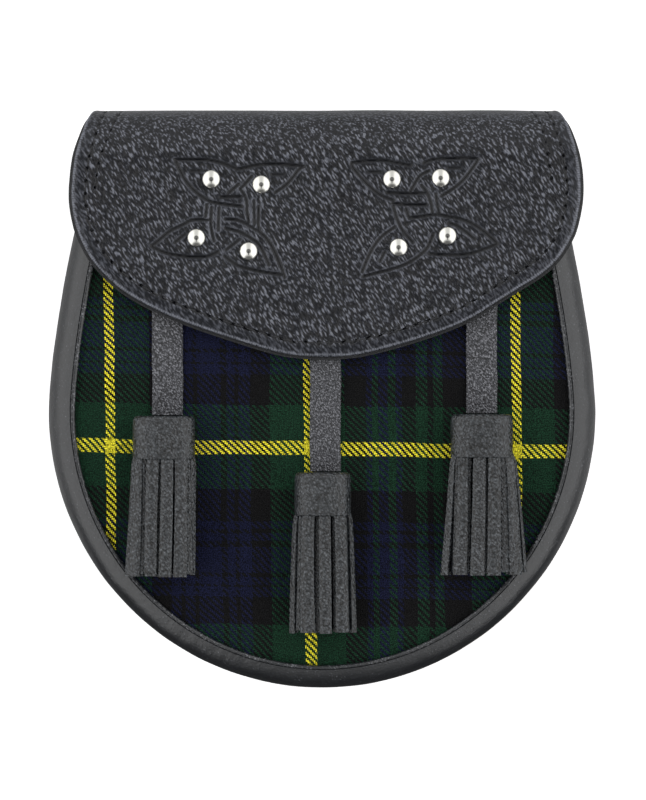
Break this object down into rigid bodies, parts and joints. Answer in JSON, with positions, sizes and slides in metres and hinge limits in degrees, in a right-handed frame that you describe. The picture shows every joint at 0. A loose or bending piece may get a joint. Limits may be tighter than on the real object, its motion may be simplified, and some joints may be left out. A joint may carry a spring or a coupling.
{
  "type": "sporran pouch",
  "caption": "Leather day sporran with a tartan front panel, a rolled flap with knotwork and domed studs, and leather tassels on flat straps.",
  "frame": {"origin": "middle of the underside of the pouch, which lies on its back with its front up", "axes": "+Z out of the front, +Y towards the rolled top edge of the flap, +X to the right seen from the front"},
  "size_m": [0.1798, 0.19, 0.0391],
  "materials": {
    "flap_leather": "black leather with a coarse pebbled grain, semi-matt",
    "rim_leather": "smooth black leather, satin",
    "back_leather": "smooth black leather, matt",
    "lining_leather": "thin black leather, matt",
    "strap_leather": "fine grained black leather",
    "tassel_leather": "soft black leather, cut in strips",
    "tartan_cloth": "twill-woven tartan in green, navy and black with yellow lines",
    "stud_chrome": "polished domes"
  },
  "bodies": {
    "root": {"back_panel": "back_leather", "gusset": "rim_leather", "rim_piping": "rim_leather", "front_panel": "tartan_cloth", "flap": "flap_leather", "flap_lining": "lining_leather", "flap_snap": "stud_chrome", "stud_1": "stud_chrome", "stud_2": "stud_chrome", "stud_3": "stud_chrome", "stud_4": "stud_chrome", "stud_5": "stud_chrome", "stud_6": "stud_chrome", "stud_7": "stud_chrome", "stud_8": "stud_chrome", "strap_left": "strap_leather", "strap_middle": "strap_leather", "strap_right": "strap_leather", "tassel_left": "tassel_leather", "tassel_middle": "tassel_leather", "tassel_right": "tassel_leather"}
  },
  "joints": []
}
